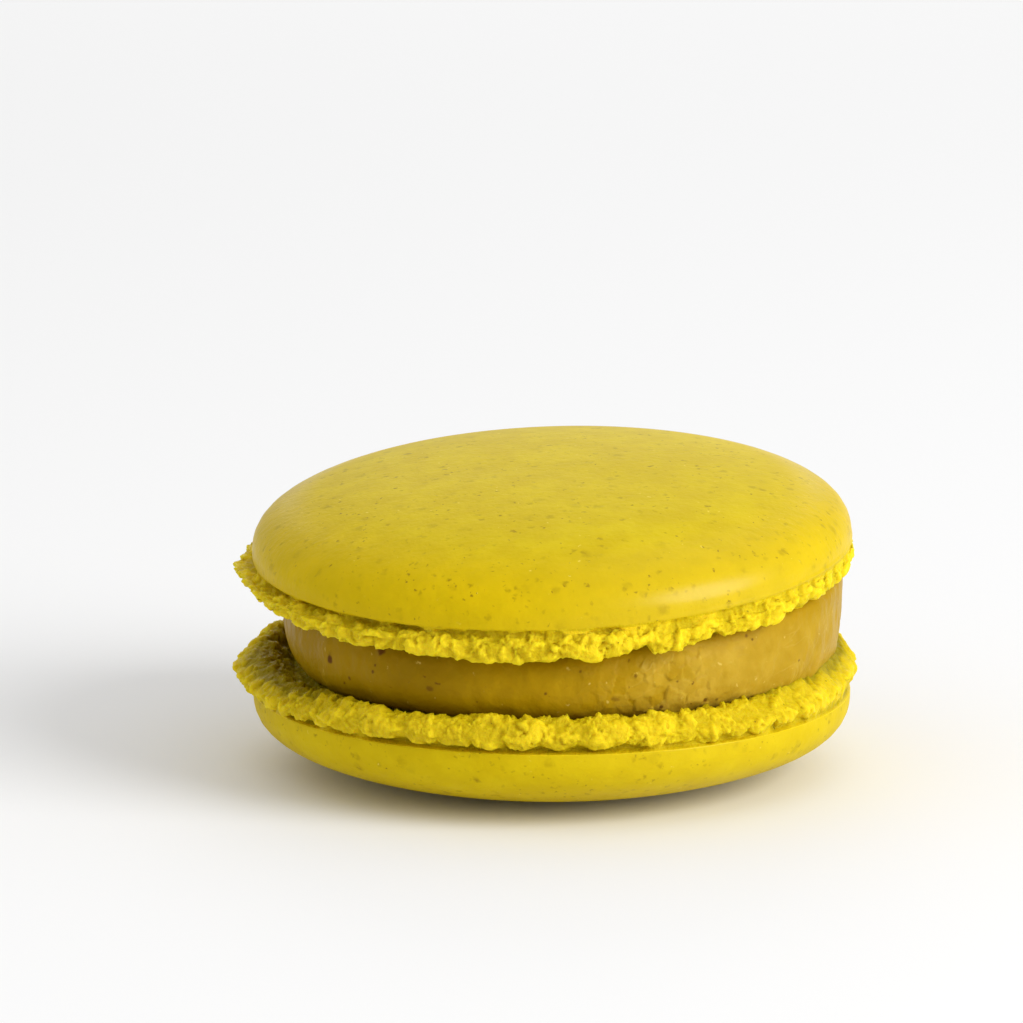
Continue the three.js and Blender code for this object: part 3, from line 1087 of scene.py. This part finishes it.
def paste_finish(groups):
    """Smooth tan paste with a soft gloss and dark red-brown specks, with painted light and shade,
    painted glints, and pale streaks partly of painted sheen.
    """
    material, tree, shader, place = new_material(
        "filling_paste", roughness=0.38, subsurface=0.2, radius=(1.5, 0.9, 0.3), specular=0.04)
    streaks = use_group(tree, groups["streaks"], place, Scale=260.0, Curl=2.0, Width=0.05)
    folded = use_group(tree, groups["mottle"], place, Scale=150.0, Contrast=0.08)
    tone = point_share(tree, "tone")
    # Painted light: the paste is paler where the tone is above 0
    pale = math_node(tree, "MAXIMUM", tone, 0.0, clamp=True)
    streaks = math_node(tree, "MULTIPLY", streaks, math_node(tree, "MULTIPLY", folded, pale))
    colour = mix_colour(tree, pale, PASTE_TAN, PASTE_PALE)
    # Painted shade: the paste is darker where the tone is below 0
    colour = mix_colour(tree, math_node(tree, "MULTIPLY", tone, -1.0, clamp=True), colour, PASTE_SHADED)
    for scale in (160.0, 700.0):
        mottle = use_group(tree, groups["mottle"], place, Scale=scale, Contrast=0.2)
        colour = mix_colour(tree, math_node(tree, "MULTIPLY", mottle, 0.4), colour, PASTE_DEEP)
    # Pale streaks on the lit side: partly paler paste, partly painted sheen along the folds
    pale_streaks = math_node(tree, "MULTIPLY", streaks,
                             math_node(tree, "MULTIPLY_ADD", tone, 0.25, 0.05, clamp=True))
    colour = mix_colour(tree, pale_streaks, colour, PASTE_GLINT)
    for scale, size, share, strength, speck in PASTE_SPECKS:
        mask = use_group(tree, groups["specks"], place, Scale=scale, Size=size, Share=share)
        colour = mix_colour(tree, math_node(tree, "MULTIPLY", mask, strength), colour, speck)
    colour = mix_colour(tree, point_share(tree, "fleck"), colour, PASTE_SPECK)
    tree.links.new(colour, shader.inputs["Base Color"])
    grain = use_group(tree, groups["grain"], place, Scale=380.0)
    height = math_node(tree, "MULTIPLY_ADD", streaks, 0.1, grain)
    add_bump(tree, shader, height, distance=0.0006, strength=0.45)
    return material


# Stage


def make_camera():
    camera = bpy.data.objects.new("camera", bpy.data.cameras.new("camera"))
    camera.data.lens = CAMERA_LENS
    camera.data.sensor_width = 36.0
    camera.data.clip_start = 0.01
    height_angle = math.radians(CAMERA_HEIGHT_ANGLE)
    camera.location = (CAMERA_SIDE, -CAMERA_DISTANCE * math.cos(height_angle),
                       CAMERA_DISTANCE * math.sin(height_angle))
    down = math.radians(CAMERA_HEIGHT_ANGLE - CAMERA_DROP)
    camera.rotation_euler = (math.pi / 2 - down, 0, 0)
    bpy.context.scene.collection.objects.link(camera)
    bpy.context.scene.camera = camera


def make_floor():
    mesh = bpy.data.meshes.new("floor")
    half = FLOOR_HALF
    corners = [(-half, -half, 0), (half, -half, 0), (half, half, 0), (-half, half, 0)]
    mesh.from_pydata(corners, [], [(0, 1, 2, 3)])
    material = bpy.data.materials.new("pale_floor")
    material.use_nodes = True
    shader = material.node_tree.nodes["Principled BSDF"]
    shader.inputs["Base Color"].default_value = FLOOR_WHITE
    shader.inputs["Roughness"].default_value = 0.9
    shader.inputs["Specular IOR Level"].default_value = 0.1
    mesh.materials.append(material)
    floor = bpy.data.objects.new("floor", mesh)
    bpy.context.scene.collection.objects.link(floor)


def area_light(name, place, size, watts):
    """A round soft light that faces the macaron."""
    light = bpy.data.lights.new(name, "AREA")
    light.shape = "DISK"
    light.size = size
    light.energy = watts
    lamp = bpy.data.objects.new(name, light)
    lamp.location = place
    lamp.rotation_euler = (Vector(LIGHT_TARGET) - Vector(place)).to_track_quat("-Z", "Y").to_euler()
    bpy.context.scene.collection.objects.link(lamp)


def make_lights():
    world = bpy.data.worlds.new("studio")
    world.use_nodes = True
    background = world.node_tree.nodes["Background"]
    background.inputs["Color"].default_value = (1, 1, 1, 1)
    background.inputs["Strength"].default_value = STUDIO_STRENGTH
    bpy.context.scene.world = world
    for name, place, size, watts in LIGHTS:
        area_light(name, place, size, watts)
    bpy.context.scene.view_settings.view_transform = "Standard"
    bpy.context.scene.view_settings.look = "None"


make_camera()
make_floor()
make_lights()

shader_groups = {"specks": speck_group(), "mottle": mottle_group(), "grain": grain_group(),
                 "streaks": streak_group()}
baked_skin = skin_finish(shader_groups)
foot_crumb = foot_finish(shader_groups)
filling_paste = paste_finish(shader_groups)

top_shell = make_shell("top_shell", TOP_SHELL, LOWER_EDGE + SHELL_SPACING,
                       (FRONT_LEAN, -SIDE_LEAN, 0), [baked_skin, foot_crumb])
bottom_shell = make_shell("bottom_shell", BOTTOM_SHELL, LOWER_EDGE, (0, 0, 0), [baked_skin, foot_crumb])
filling = make_filling("filling_layer", filling_paste)

for piece, node, material_slot in (
    (top_shell, "shell_top", "shell"),
    (bottom_shell, "shell_bottom", "shell"),
    (filling, "filling", "filling"),
):
    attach(piece, "root")
    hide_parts(node)
